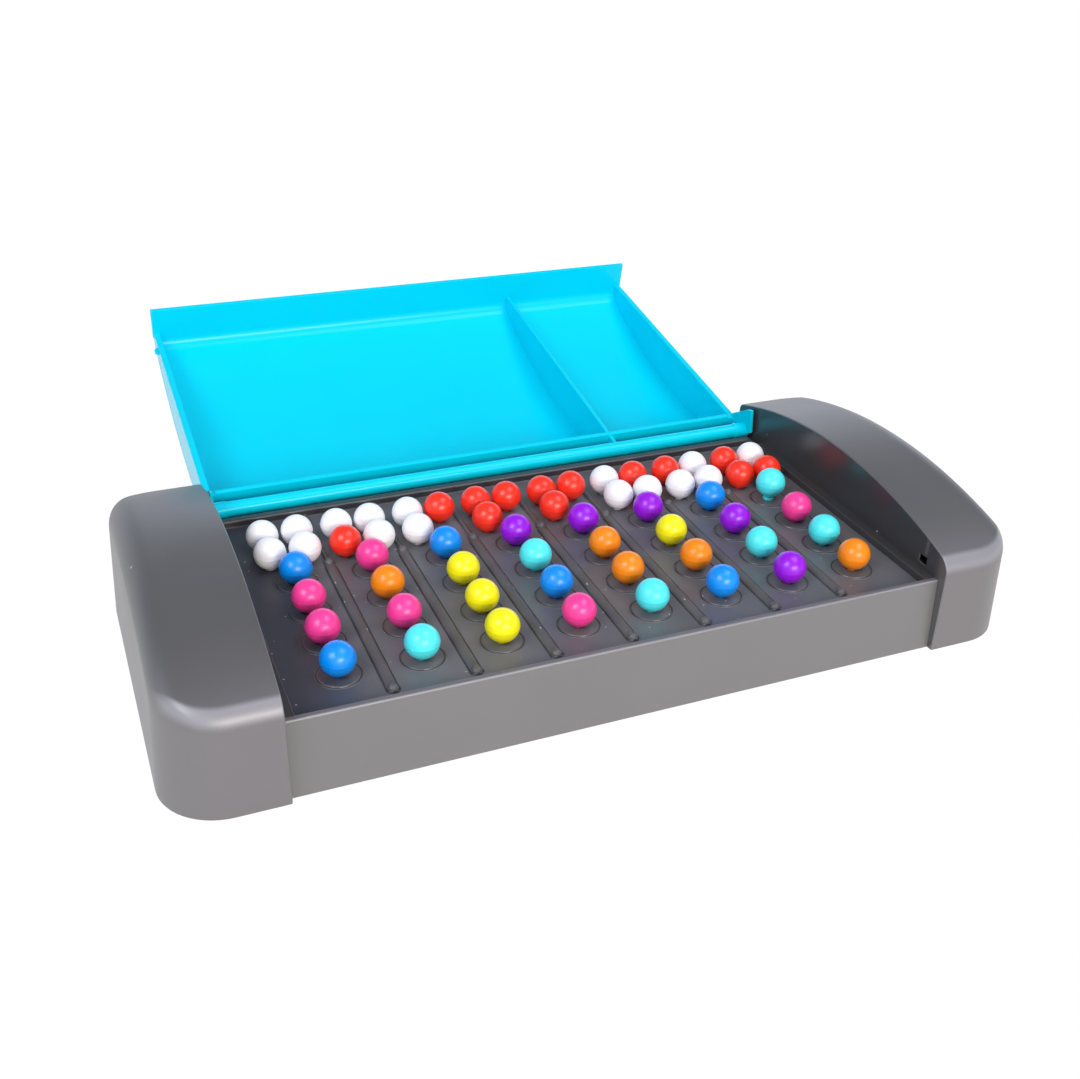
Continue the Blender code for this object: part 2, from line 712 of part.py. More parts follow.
def main():
    for thing in list(bpy.data.objects):
        bpy.data.objects.remove(thing, do_unlink=True)
    grey = plastic("grey_abs", (0.13, 0.13, 0.135), 0.38)
    make_housing(grey)
    make_base_cover(grey)
    make_lid(plastic("cyan_abs", (0.0, 0.72, 0.87), 0.22))
    make_pegs()


main()
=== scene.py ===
import json
import math
import random

import bmesh
import bpy
from mathutils import Matrix, Vector


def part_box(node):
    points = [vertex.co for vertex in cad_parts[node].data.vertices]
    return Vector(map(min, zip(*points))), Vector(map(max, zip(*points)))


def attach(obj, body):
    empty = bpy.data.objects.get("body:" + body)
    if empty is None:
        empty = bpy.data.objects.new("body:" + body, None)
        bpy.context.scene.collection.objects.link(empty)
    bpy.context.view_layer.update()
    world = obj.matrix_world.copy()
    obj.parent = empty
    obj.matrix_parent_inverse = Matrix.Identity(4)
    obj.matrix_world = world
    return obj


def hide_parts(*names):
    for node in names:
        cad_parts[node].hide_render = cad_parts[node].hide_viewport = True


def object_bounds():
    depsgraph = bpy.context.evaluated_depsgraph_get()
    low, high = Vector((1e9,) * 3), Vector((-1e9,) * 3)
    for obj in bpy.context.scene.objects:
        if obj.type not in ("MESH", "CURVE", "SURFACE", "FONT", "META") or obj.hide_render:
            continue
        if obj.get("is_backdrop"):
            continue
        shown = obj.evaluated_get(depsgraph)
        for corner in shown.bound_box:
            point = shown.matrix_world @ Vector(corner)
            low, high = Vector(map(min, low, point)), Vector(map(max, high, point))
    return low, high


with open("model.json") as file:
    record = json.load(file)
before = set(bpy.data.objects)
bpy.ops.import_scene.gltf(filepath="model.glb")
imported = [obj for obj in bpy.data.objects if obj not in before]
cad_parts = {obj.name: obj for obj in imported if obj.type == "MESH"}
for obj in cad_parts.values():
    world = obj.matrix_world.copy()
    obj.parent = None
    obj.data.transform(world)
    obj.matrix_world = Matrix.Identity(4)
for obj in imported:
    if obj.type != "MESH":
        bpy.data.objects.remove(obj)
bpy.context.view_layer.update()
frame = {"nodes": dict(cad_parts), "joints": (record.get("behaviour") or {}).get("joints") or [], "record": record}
mm = 0.001
overrun = 1 * mm  # how far a cutter goes past the face that it opens
sharpAngle = math.radians(35)  # edges that turn further than this stay crisp


# Meshes

def meshFrom(name, bm, angle=sharpAngle):
    bmesh.ops.recalc_face_normals(bm, faces=bm.faces[:])
    mesh = bpy.data.meshes.new(name)
    bm.to_mesh(mesh)
    bm.free()
    mesh.shade_smooth()
    mesh.set_sharp_from_angle(angle=angle)
    return mesh


def addPiece(name, bm):
    thing = bpy.data.objects.new(name, meshFrom(name, bm))
    bpy.context.scene.collection.objects.link(thing)
    return thing


def solid(name, build):
    bm = bmesh.new()
    build(bm)
    return addPiece(name, bm)


def loft(bm, sections, closeEnds=True):
    rings = [[bm.verts.new(p) for p in section] for section in sections]
    for first, second in zip(rings, rings[1:]):
        for i in range(len(first)):
            j = (i + 1) % len(first)
            bm.faces.new((first[i], first[j], second[j], second[i]))
    if closeEnds:
        bm.faces.new(rings[0])
        bm.faces.new(rings[-1])
    return rings


def prismX(bm, outline, x0, x1):
    loft(bm, [[(x, y, z) for y, z in outline] for x in (x0, x1)])


def prismY(bm, outline, y0, y1):
    loft(bm, [[(x, y, z) for x, z in outline] for y in (y0, y1)])


def circle(radius, x, y, z, sides):
    turns = [2 * math.pi * k / sides for k in range(sides)]
    return [(x + radius * math.cos(a), y + radius * math.sin(a), z) for a in turns]


def corners(y0, z0, y1, z1):
    return [(y0, z0), (y1, z0), (y1, z1), (y0, z1)]


# a polygon with its corners turned to arcs: points are (across, up, radius)
def roundedOutline(points, steps=4):
    out = []
    n = len(points)
    for i, (y, z, r) in enumerate(points):
        here = Vector((y, z))
        if r <= 0:
            out.append((y, z))
            continue
        before = (Vector(points[i - 1][:2]) - here).normalized()
        after = (Vector(points[(i + 1) % n][:2]) - here).normalized()
        half = before.angle(after) / 2
        start = here + before * (r / math.tan(half))
        end = here + after * (r / math.tan(half))
        centre = here + (before + after).normalized() * (r / math.sin(half))
        a0, a1 = start - centre, end - centre
        swing = a0.angle_signed(a1)
        for k in range(steps + 1):
            t = -swing * k / steps
            c, s = math.cos(t), math.sin(t)
            out.append((centre.x + a0.x * c - a0.y * s, centre.y + a0.x * s + a0.y * c))
    return out


def bakeMesh(thing):
    graph = bpy.context.evaluated_depsgraph_get()
    mesh = bpy.data.meshes.new_from_object(thing.evaluated_get(graph))
    thing.modifiers.clear()
    thing.data = mesh
    return thing


def bevelled(thing, width, segments=2, angle=40):
    step = thing.modifiers.new("edge", "BEVEL")
    step.width, step.segments = width, segments
    step.limit_method, step.angle_limit = "ANGLE", math.radians(angle)
    step.use_clamp_overlap = True
    return bakeMesh(thing)


# one boolean with all the tools at once, which are then removed
def combined(thing, tools, operation):
    group = bpy.data.collections.new("tools")
    for tool in tools:
        group.objects.link(tool)
    step = thing.modifiers.new("join", "BOOLEAN")
    step.operation, step.solver = operation, "EXACT"
    step.operand_type, step.collection = "COLLECTION", group
    bakeMesh(thing)
    for tool in tools:
        bpy.data.objects.remove(tool, do_unlink=True)
    bpy.data.collections.remove(group)
    return thing


def evenShading(thing):
    thing.data.shade_smooth()
    thing.data.set_sharp_from_angle(angle=sharpAngle)
    step = thing.modifiers.new("shading", "WEIGHTED_NORMAL")
    step.keep_sharp = True
    return thing


# Materials

def hexColour(code):
    parts = [int(code[i:i + 2], 16) / 255 for i in (1, 3, 5)]
    return tuple(c / 12.92 if c <= 0.04045 else ((c + 0.055) / 1.055) ** 2.4 for c in parts) + (1,)


def addNode(tree, kind, settings=None, links=None):
    node = tree.nodes.new(kind)
    for key, value in (settings or {}).items():
        if isinstance(key, int) or key in node.inputs:
            node.inputs[key].default_value = value
        else:
            setattr(node, key, value)
    for key, source in (links or {}).items():
        tree.links.new(source, node.inputs[key])
    return node


# a colour laid over another, by the product of smooth steps from 0 at one value of a source to 1 at another
def laidOver(tree, colour, steps, code):
    share = None
    for source, start, stop in steps:
        settings = {"interpolation_type": "SMOOTHSTEP", 1: start, 2: stop}
        step = addNode(tree, "ShaderNodeMapRange", settings, {0: source}).outputs[0]
        share = step if share is None else addNode(
            tree, "ShaderNodeMath", {"operation": "MULTIPLY"}, {0: share, 1: step}).outputs[0]
    settings = {"data_type": "RGBA", 7: hexColour(code)}
    return addNode(tree, "ShaderNodeMix", settings, {0: share, 6: colour}).outputs[2]


paintedEdgeHighlight = {  # painted highlight: pale where the plastic faces neither quite up nor level, and partly fore or aft
    "notUp": (0.94, 0.8), "notLevel": (0.1, 0.5), "foreAft": (0.12, 0.5),
}
nickCore = 0.6  # share of a nick's size at which it is at its palest


# moulded plastic: a colour that drifts a little, gloss that drifts with handling and the grain of the mould,
# and where its look has them, bands of painted light and shade, a painted highlight on rounded edges, a worn
# streak and scattered pale nicks
def mouldedPlastic(name, look):
    material = bpy.data.materials.new(name)
    material.use_nodes = True
    tree = material.node_tree
    shader = tree.nodes["Principled BSDF"]
    place = addNode(tree, "ShaderNodeTexCoord").outputs["Object"]
    noises = []
    for size, detail in ((look["cloudSize"], 3), (look["grainSize"], 2)):
        settings = {"Scale": 1 / (size * mm), "Detail": detail}
        noises.append(addNode(tree, "ShaderNodeTexNoise", settings, {"Vector": place}).outputs["Fac"])
    cloud, grain = noises
    tint = {"data_type": "RGBA", 6: hexColour(look["colour"]), 7: hexColour(look["drift"])}
    colour = addNode(tree, "ShaderNodeMix", tint, {0: cloud}).outputs[2]
    ways = addNode(tree, "ShaderNodeSeparateXYZ", None, {0: place}).outputs
    # bands of painted light and shade
    for way, start, stop, code in look.get("bands", ()):
        colour = laidOver(tree, colour, [(ways[way], start * mm, stop * mm)], code)
    # a painted highlight on rounded edges that face fore or aft
    if "edgeColour" in look:
        facing = addNode(tree, "ShaderNodeTexCoord").outputs["Normal"]
        facings = addNode(tree, "ShaderNodeSeparateXYZ", None, {0: facing}).outputs
        foreAft = addNode(tree, "ShaderNodeMath", {"operation": "ABSOLUTE"}, {0: facings["Y"]}).outputs[0]
        colour = laidOver(tree, colour, (
            (facings["Z"], *paintedEdgeHighlight["notUp"]), (facings["Z"], *paintedEdgeHighlight["notLevel"]),
            (foreAft, *paintedEdgeHighlight["foreAft"]),
        ), look["edgeColour"])
    if "streak" in look:
        streak = look["streak"]
        middle = {"operation": "SUBTRACT", 1: streak["y"] * mm}
        offset = addNode(tree, "ShaderNodeMath", middle, {0: ways["Y"]}).outputs[0]
        away = addNode(tree, "ShaderNodeMath", {"operation": "ABSOLUTE"}, {0: offset}).outputs[0]
        colour = laidOver(tree, colour, (
            (away, streak["halfWidth"] * mm, 0.0),
            (ways["Z"], streak["foot"] * mm, (streak["foot"] + streak["fade"]) * mm),
            (grain, *streak["grain"]),
        ), streak["colour"])
    if "nickSize" in look:
        stretch = {"operation": "MULTIPLY", 1: look["nickStretch"]}
        drawn = addNode(tree, "ShaderNodeVectorMath", stretch, {0: place}).outputs[0]
        pitch = {"Scale": 1 / (look["nickPitch"] * mm)}
        spots = addNode(tree, "ShaderNodeTexVoronoi", pitch, {"Vector": drawn}).outputs["Distance"]
        near = look["nickSize"] / look["nickPitch"]
        fade = {1: near, 2: near * nickCore, 3: 0.0, 4: look["nickStrength"]}
        nick = addNode(tree, "ShaderNodeMapRange", fade, {0: spots}).outputs[0]
        pale = {"data_type": "RGBA", 7: hexColour(look["nickColour"])}
        colour = addNode(tree, "ShaderNodeMix", pale, {0: nick, 6: colour}).outputs[2]
    smooth, rough = look["roughness"]
    gloss = addNode(tree, "ShaderNodeMapRange", {3: smooth, 4: rough}, {0: cloud})
    relief = {"Strength": look["grainStrength"], "Distance": look["grainDepth"] * mm}
    bump = addNode(tree, "ShaderNodeBump", relief, {"Height": grain})
    tree.links.new(colour, shader.inputs["Base Color"])
    tree.links.new(gloss.outputs[0], shader.inputs["Roughness"])
    tree.links.new(bump.outputs["Normal"], shader.inputs["Normal"])
    shader.inputs["IOR"].default_value = look["ior"]
    shader.inputs["Specular IOR Level"].default_value = look["specular"]
    return material


# sizes and places in the looks are in millimetres; the real grain of such moulds, 0.05 to 0.2, is too fine to
# show here and is drawn as coarse as it needs to

greyAbsLook = {  # satin moulded ABS: a soft broad sheen, dark where nothing bright is mirrored
    "colour": "#545455", "drift": "#5d5c5c", "roughness": (0.36, 0.44), "ior": 1.54, "specular": 0.85,
    "cloudSize": 26, "grainSize": 0.5, "grainDepth": 0.02, "grainStrength": 0.2,
    "nickPitch": 15, "nickSize": 0.5, "nickColour": "#c8c4c0", "nickStrength": 0.7,
    # painted light: the band makes the grey paler lower down, from 40 mm to 27 mm over the floor, where the caps'
    # faces stand upright and take more light; the edge colour is a painted highlight on the rounded edges
    "nickStretch": (0.45, 1.0, 1.2), "bands": [("Z", 40, 27, "#6c696b")], "edgeColour": "#8a898e",
}
wallAbsLook = {  # the same ABS on the plain front wall, a shade paler as painted light on the face that looks to the front
    **greyAbsLook, "colour": "#6b6a6a", "drift": "#737171", "bands": [], "cloudSize": 40,
}
paintedShadeAbsLook = {  # the same ABS made darker as painted shade, on the caps' cheeks, the side ledges, the faces behind the deck and the pads' grooves; on the cheeks, burnished by the lid, with clearer mirroring
    **greyAbsLook, "colour": "#3e3e40", "drift": "#444244", "roughness": (0.2, 0.28), "specular": 0.5,
    # painted light: the band lifts the painted shade to a paler grey towards the front end, from 59 mm to 63 mm
    # forward of the middle; the edge colour is a painted highlight
    "bands": [("Y", -59, -63, "#5a5858")], "edgeColour": "#5a5a5c",
    "streak": {  # the pale mark that a catch nub wears into the cheek on its way to its hole
        "y": -54.2, "halfWidth": 1.3, "foot": 29.6, "fade": 1, "grain": (0.3, 0.62), "colour": "#656367",
    },
}
deckAbsLook = {  # the same ABS from the spark-eroded floor of the mould: darker, with a fine pebble; its colours are set a little paler as a painted sheen
    "colour": "#50545c", "drift": "#726f70", "roughness": (0.3, 0.46), "ior": 1.54, "specular": 0.5,
    "cloudSize": 16, "grainSize": 0.55, "grainDepth": 0.05, "grainStrength": 0.55,
    "nickPitch": 4.4, "nickSize": 0.26, "nickColour": "#c8ccd0", "nickStrength": 0.8,
    # painted shade: the band darkens the deck towards the left cap, from 66 mm to 104 mm left of the middle
    "nickStretch": (0.7, 1.0, 1.0), "bands": [("X", -66, -104, "#3c3e47")],
}
ribAbsLook = {  # the same ABS on the raised ribs and knobs, rubbed paler by the pegs; on the ridges of the pads' rings, its paler scratches are a painted highlight
    **deckAbsLook, "colour": "#4e4e50", "drift": "#646262", "cloudSize": 7, "nickPitch": 3.0,
    "nickColour": "#d0ccca", "nickStretch": (1.0, 0.35, 1.0), "bands": [],
}
cyanAbsLook = {  # gloss ABS, dyed right through: the mirror of the room is faint beside the colour
    "colour": "#00d4ee", "drift": "#00daf4", "roughness": (0.2, 0.28), "ior": 1.45, "specular": 0.22,
    "cloudSize": 34, "grainSize": 1.2, "grainDepth": 0.012, "grainStrength": 0.15,
}
pegLook = {  # glossy polystyrene
    "roughness": (0.28, 0.34), "ior": 1.5, "specular": 0.6, "cloudSize": 4, "grainSize": 0.6,
    "grainDepth": 0.006, "grainStrength": 0.2,
}
pegColours = {
    "blue": ("#008ef6", "#0096fc"), "pink": ("#fe3c98", "#ff44a0"), "orange": ("#ff8a00", "#ff9208"),
    "yellow": ("#fff400", "#fffa00"), "violet": ("#980ae0", "#a00ee8"), "turquoise": ("#50f2f8", "#58f6fe"),
    "red": ("#ff3018", "#ff3820"), "white": ("#fbfbfe", "#fdfdff"),
}

greyAbs = mouldedPlastic("greyAbsSatin", greyAbsLook)
paintedShadeAbs = mouldedPlastic("greyAbsBurnished", paintedShadeAbsLook)
wallAbs = mouldedPlastic("greyAbsPolishedMould", wallAbsLook)
deckAbs = mouldedPlastic("greyAbsSparkFinish", deckAbsLook)
ribAbs = mouldedPlastic("greyAbsRubbed", ribAbsLook)
cyanAbs = mouldedPlastic("cyanAbsGloss", cyanAbsLook)
pegPlastic = {
    word: mouldedPlastic(word + "Polystyrene", {**pegLook, "colour": base, "drift": drift})
    for word, (base, drift) in pegColours.items()
}
print("materials made")


# Housing

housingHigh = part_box("housing")[1]
housing = {
    "halfLength": housingHigh.x, "halfDepth": housingHigh.y, "archTop": housingHigh.z,
    "capWidth": 33.9 * mm, "capDraft": 0.6 * mm, "endLean": 2.6 * mm, "cornerRadius": 18.6 * mm,
    "shoulderWidth": 8.3 * mm, "shoulderDrop": 7 * mm, "archRadius": 190.44 * mm, "archSetback": 1.6 * mm,
    "archFrontRadius": 7 * mm, "archBackRadius": 2.8 * mm, "edgeRound": 0.5 * mm, "wall": 2.2 * mm,
    "rimTop": 25 * mm, "frontSetback": 2.2 * mm, "frontDraft": 1.7 * mm, "frontRim": 2.2 * mm,
    "sideLedge": 3.6 * mm, "ledgeRound": 0.5 * mm, "ledgeTuck": 0.6 * mm, "backRim": 3.1 * mm,
    "recessBack": 50.7 * mm, "deckTop": 22.4 * mm, "deckThickness": 2 * mm, "troughTop": 22.6 * mm,
}
capFace = housing["halfLength"] - housing["capWidth"]
hinge = next(j for j in frame["joints"] if j["name"] == "lid_hinge")
hingeY, hingeZ = hinge["pos_m"][1], hinge["pos_m"][2]


def archZ(y, inset=0.0):
    radius, setback = housing["archRadius"], housing["archSetback"]
    return housing["archTop"] - radius + math.sqrt((radius - inset) ** 2 - (y - setback) ** 2)


# points along the arch from one Y to another, without the first
def archRun(start, stop, steps, inset=0.0):
    places = [start + (stop - start) * k / steps for k in range(1, steps + 1)]
    return [(y, archZ(y, inset)) for y in places]


# the round between an upright face at y = side * face and the arch
def archEnd(side, face, endRadius, inset=0.0, drop=0.0, steps=10):
    radius, setback = housing["archRadius"] - inset, housing["archSetback"]
    reach = face - side * setback - endRadius
    rise = math.sqrt((radius - endRadius) ** 2 - reach ** 2)
    centreZ = housing["archTop"] - housing["archRadius"] - drop + rise
    lean = math.asin(reach / (radius - endRadius))
    turns = [math.pi / 2 - (math.pi / 2 - lean) * k / steps for k in range(steps + 1)]
    return [
        (setback + side * (reach + endRadius * math.sin(a)), centreZ + endRadius * math.cos(a)) for a in turns
    ]


def capOutline(halfDepth, footZ, inset, drop, archSteps=28):
    face = halfDepth - housing["capDraft"]
    front = archEnd(-1, face, housing["archFrontRadius"] - inset, inset, drop)
    back = archEnd(1, face, housing["archBackRadius"] - inset, inset, drop)
    top = [(y, z - drop) for y, z in archRun(front[-1][0], back[-1][0], archSteps, inset)[:-1]]
    return [(-halfDepth, footZ)] + front + top + back[::-1] + [(halfDepth, footZ)]


# the end of a cap leans inwards as it rises
def leanIn(side, x, z):
    h = housing
    return side * (x - h["endLean"] * z / h["archTop"] * (x - capFace) / h["capWidth"])


def capSections(side, start, footZ, inset, edge, steps=14, edgeSteps=4):
    corner = housing["cornerRadius"] - inset
    width, depth = housing["shoulderWidth"] - inset, housing["shoulderDrop"] - inset
    end = housing["halfLength"] - inset
    places = []  # distance from the middle, tuck of front and back, drop of the top and rounding of the edge
    for k in range(edgeSteps if edge else 0):
        a = math.pi / 2 * k / edgeSteps
        rounded = edge * (1 - math.sin(a))
        places.append((start + edge * (1 - math.cos(a)), rounded, 0.0, rounded))
    places.append((start + edge, 0.0, 0.0, 0.0))
    for k in range(steps + 1):
        a = math.pi / 2 * k / steps
        x = end - corner + corner * math.sin(a)
        past = max(0.0, x - (end - width)) / width
        drop = depth * (1 - math.sqrt(max(0.0, 1 - past ** 2)))
        places.append((x, corner - corner * math.cos(a), drop, 0.0))
    halfDepth = housing["halfDepth"] - inset
    return [
        [(leanIn(side, x, z), y, z) for y, z in capOutline(halfDepth - tuck, footZ, inset + rounded, drop)]
        for x, tuck, drop, rounded in places
    ]


catch = {  # a nub of the lid and its hole in a cap, whose wall is cored from inside to a thin web round it
    "y": -53.25 * mm, "z": 27.8 * mm, "width": 3.1 * mm, "height": 2.2 * mm, "bite": 0.5 * mm,
    "gap": 0.4 * mm, "pinHole": 1.8 * mm, "web": 0.5 * mm, "coring": 2.5 * mm, "reach": 4 * mm,
}


def catchOutline(halfY, halfZ):
    return corners(catch["y"] - halfY, catch["z"] - halfZ, catch["y"] + halfY, catch["z"] + halfZ)


sidesOf = {"hole": 20, "pin": 24, "bead": 36}  # of the rounds that are drawn as polygons


# section of a round that runs along the hinge
def rod(radius, sides):
    return [(hingeY + u, hingeZ + v) for u, v, _ in circle(radius, 0, 0, 0, sides)]


def makeCap(side, word):
    outside = capSections(side, capFace, 0.0, 0.0, housing["edgeRound"])
    inside = capSections(side, capFace + housing["wall"], -overrun, housing["wall"], 0.0)
    cap = solid("endCap" + word, lambda bm: loft(bm, outside))
    tools = [solid("capHollow", lambda bm: loft(bm, inside))]
    through = sorted((side * (capFace - overrun), side * (capFace + catch["reach"])))
    coring = sorted((side * (capFace + catch["web"]), side * (capFace + catch["reach"])))
    for name, grow, span in (("catchHole", catch["gap"], through), ("catchCoring", catch["coring"], coring)):
        outline = catchOutline(catch["width"] / 2 + grow, catch["height"] / 2 + grow)
        tools.append(solid(name, lambda bm: prismX(bm, outline, *span)))
    tools.append(solid("pinHole", lambda bm: prismX(bm, rod(catch["pinHole"], sidesOf["pin"]), *through)))
    combined(cap, tools, "DIFFERENCE")
    evenShading(cap)
    cap.data.materials.clear()
    finishGrey(cap, greyAbs, paintedShadeAbs)
    # the cheeks take the darker copy, as painted shade
    for face in cap.data.polygons:
        inward = -side * face.normal.x > materialRule["inward"]
        cheek = inward and abs(face.center.x) < capFace + materialRule["cheekReach"]
        face.material_index = 1 if cheek else 0


ear = {  # the plates at the lid's ends that carry its pins, measured on the shut lid, and the slots for them
    "thickness": 1.4 * mm, "depth": 10.7 * mm, "step": 0.9 * mm, "footFront": 0.5 * mm, "footBack": 2.8 * mm,
    "back": 5.4 * mm, "heel": 1.8 * mm, "shoulder": 2.1 * mm, "endGap": 0.9 * mm, "clearance": 0.3 * mm,
    "slotPast": 0.2 * mm,
}


def frontFace(z):
    return -(housing["halfDepth"] - housing["frontSetback"]) + housing["frontDraft"] * z / housing["rimTop"]


field = {
    "columns": 8, "rows": 4, "columnPitch": 24.7 * mm, "rowPitch": 17.3 * mm, "frontRow": -42.8 * mm,
    "keyFrontRow": 21 * mm, "keyPitchX": 11.4 * mm, "keyPitchY": 11.9 * mm, "holeRadius": 2.15 * mm,
}


def columnX(column):
    return (column - (field["columns"] + 1) / 2) * field["columnPitch"]


codePlaces = [
    (columnX(c + 1), field["frontRow"] + r * field["rowPitch"])
    for c in range(field["columns"]) for r in range(field["rows"])
]
keyPlaces = [
    (columnX(c + 1) + side * field["keyPitchX"] / 2, field["keyFrontRow"] + r * field["keyPitchY"])
    for c in range(field["columns"]) for side in (-1, 1) for r in (0, 1)
]
ribLines = [columnX(c) + field["columnPitch"] / 2 for c in range(1, field["columns"])]


rib = {
    "width": 3.4 * mm, "height": 0.9 * mm, "sink": 0.5 * mm, "neckWidth": 1.8 * mm, "front": -56.6 * mm,
    "taper": 3 * mm, "knobRadius": 1.7 * mm, "knobHeight": 1.95 * mm, "knobSink": 0.3 * mm,
    "knobFront": -54.8 * mm, "knobRear": 17.1 * mm, "grooveWidth": 0.5 * mm, "grooveDepth": 0.45 * mm,
    "grooveFloor": 0.6, "grooveTuck": 0.1 * mm, "grooveStart": 1 * mm,
}


def addHoles(bm):
    low, high = housing["deckTop"] - housing["deckThickness"] - overrun, housing["deckTop"] + overrun
    for x, y in codePlaces + keyPlaces:
        loft(bm, [circle(field["holeRadius"], x, y, z, sidesOf["hole"]) for z in (low, high)])


# shut, the lid's ears hang in a slot at each end of the trough
def addEarSlots(bm):
    low, high = housing["deckTop"] - housing["deckThickness"] - overrun, housing["rimTop"] + overrun
    inner = capFace - ear["endGap"] - ear["thickness"] - ear["clearance"]
    reach = math.hypot(ear["footBack"], ear["depth"]) + ear["clearance"]
    outline = corners(hingeY - reach, low, hingeY + ear["back"] + ear["clearance"], high)
    for side in (-1, 1):
        prismX(bm, outline, side * inner, side * (capFace + ear["slotPast"]))


# a fine groove along each side of a rib
def addGrooves(bm):
    deck, wide, deep = housing["deckTop"], rib["grooveWidth"], rib["grooveDepth"]
    start, stop = rib["front"] + rib["grooveStart"], rib["knobRear"] - rib["taper"] / 2
    for x in ribLines:
        for side in (-1, 1):
            inner = x + side * (rib["width"] / 2 - rib["grooveTuck"])
            outer, floor = inner + side * wide, inner + side * wide * rib["grooveFloor"]
            outline = [(inner, deck + overrun), (outer, deck + overrun), (outer, deck), (floor, deck - deep),
                       (inner, deck - deep)]
            prismY(bm, outline, start, stop)


def makeTray():
    h = housing
    rimInner = frontFace(h["rimTop"]) + h["frontRim"]
    rimBack = h["recessBack"] + h["backRim"]
    lean = h["capDraft"] * h["troughTop"] / h["archTop"]
    under = h["deckTop"] - h["deckThickness"]
    soft, fine = 0.7 * mm, 0.35 * mm
    outline = roundedOutline([
        (frontFace(0), 0, 0),
        (frontFace(h["rimTop"]), h["rimTop"], soft),
        (rimInner, h["rimTop"], soft),
        (rimInner, h["deckTop"], fine),
        (h["recessBack"], h["deckTop"], fine),
        (h["recessBack"], h["rimTop"], soft),
        (rimBack, h["rimTop"], soft),
        (rimBack, h["troughTop"], fine),
        (h["halfDepth"] - lean, h["troughTop"], soft),
        (h["halfDepth"], 0, 0),
        (h["halfDepth"] - h["wall"], 0, 0),
        (h["halfDepth"] - h["wall"] - h["capDraft"], under, 0),
        (frontFace(under) + h["wall"], under, 0),
        (frontFace(0) + h["wall"], 0, 0),
    ])
    tray = solid("deckTray", lambda bm: prismX(bm, outline, -capFace, capFace))
    tools = [solid("holes", addHoles), solid("earSlots", addEarSlots), solid("grooves", addGrooves)]
    return evenShading(combined(tray, tools, "DIFFERENCE"))


def addLedges(bm):
    h = housing
    front, back = frontFace(h["rimTop"]) + h["frontRim"] - h["ledgeTuck"], h["recessBack"] + h["ledgeTuck"]
    foot, top = h["deckTop"] - overrun, h["rimTop"]
    for side in (-1, 1):
        inner, outer = side * (capFace - h["sideLedge"]), side * capFace
        outline = roundedOutline([
            (outer, foot, 0), (inner, foot, 0), (inner, top, h["ledgeRound"]), (outer, top, 0),
        ])
        prismY(bm, outline, front, back)


# a low disc round each code hole, set off by a ring groove with rounded edges: radius and height over the deck in
# millimetres, and the material of each step, 0 as the deck, 1 the ribs' paler scratched ABS as a painted highlight
# on the ridges, 2 the darker copy as painted shade in the groove
padProfile = [
    (2.12, -0.3, 0), (7.15, -0.3, 0), (7.15, -0.02, 0), (7.0, 0.1, 1), (6.85, 0.16, 1), (6.72, 0.1, 2),
    (6.6, 0.02, 2), (6.34, 0.02, 2), (6.24, 0.2, 1), (6.12, 0.33, 1), (5.98, 0.37, 1), (5.84, 0.34, 0),
    (5.7, 0.3, 0), (2.12, 0.3, 0),
]


def addPads(bm, sides=64):
    deck = housing["deckTop"]
    for x, y in codePlaces:
        rings = []
        for r, z, _ in padProfile:
            rings.append([bm.verts.new(p) for p in circle(r * mm, x, y, deck + z * mm, sides)])
        for i, (_, _, finish) in enumerate(padProfile):
            first, second = rings[i], rings[(i + 1) % len(rings)]
            for k in range(sides):
                j = (k + 1) % sides
                bm.faces.new((first[k], first[j], second[j], second[k])).material_index = finish


def ribSection(x, y, width, steps=10):
    deck, foot = housing["deckTop"], housing["deckTop"] - rib["sink"]
    arc = [math.pi * k / steps for k in range(steps + 1)]
    crest = [(x - width / 2 * math.cos(a), y, deck + rib["height"] * math.sin(a)) for a in arc]
    return [(x - width / 2, y, foot)] + crest + [(x + width / 2, y, foot)]


# a rib has a round nose at the front, and narrows to its neck where it passes the rear knob
def addRibs(bm, noseSteps=4, taperSteps=8):
    swell = rib["width"] - rib["neckWidth"]
    places = []
    for k in range(noseSteps + 1):
        a = math.pi / 2 * k / noseSteps
        width = rib["neckWidth"] + swell * math.sin(a)
        places.append((rib["front"] + rib["width"] / 2 * (1 - math.cos(a)), width))
    for k in range(taperSteps + 1):
        t = k / taperSteps
        width = rib["width"] - swell * (t * t * (3 - 2 * t))
        places.append((rib["knobRear"] - rib["taper"] / 2 + rib["taper"] * t, width))
    places.append((housing["recessBack"] + overrun, rib["neckWidth"]))
    for x in ribLines:
        loft(bm, [ribSection(x, y, width) for y, width in places])


def addKnobs(bm, sides=32, steps=10):
    deck, radius = housing["deckTop"], rib["knobRadius"]
    base = deck + rib["knobHeight"] - radius
    turns = [math.pi / 2 * k / steps for k in range(steps)]
    for x in ribLines:
        for y in (rib["knobFront"], rib["knobRear"]):
            foot = circle(radius, x, y, deck - rib["knobSink"], sides)
            dome = [circle(radius * math.cos(a), x, y, base + radius * math.sin(a), sides) for a in turns]
            loft(bm, [foot] + dome)


def finishGrey(thing, *materials):
    for material in materials:
        thing.data.materials.append(material)
    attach(thing, "housing")
    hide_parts("housing")


materialRule = {  # which faces take which material, the painted light and painted shade copies among them: least part of the normal on an axis, reach past a plane
    "inward": 0.9, "cheekReach": 1 * mm, "level": 0.9, "deckReach": 0.5 * mm, "forward": 0.8,
    "frontReach": 0.1 * mm, "backReach": 0.5 * mm,
}
for side, word in ((-1, "Left"), (1, "Right")):
    makeCap(side, word)
tray = makeTray()
finishGrey(tray, greyAbs, deckAbs, wallAbs, paintedShadeAbs)
deckTop, rimFace = housing["deckTop"], frontFace(housing["rimTop"])
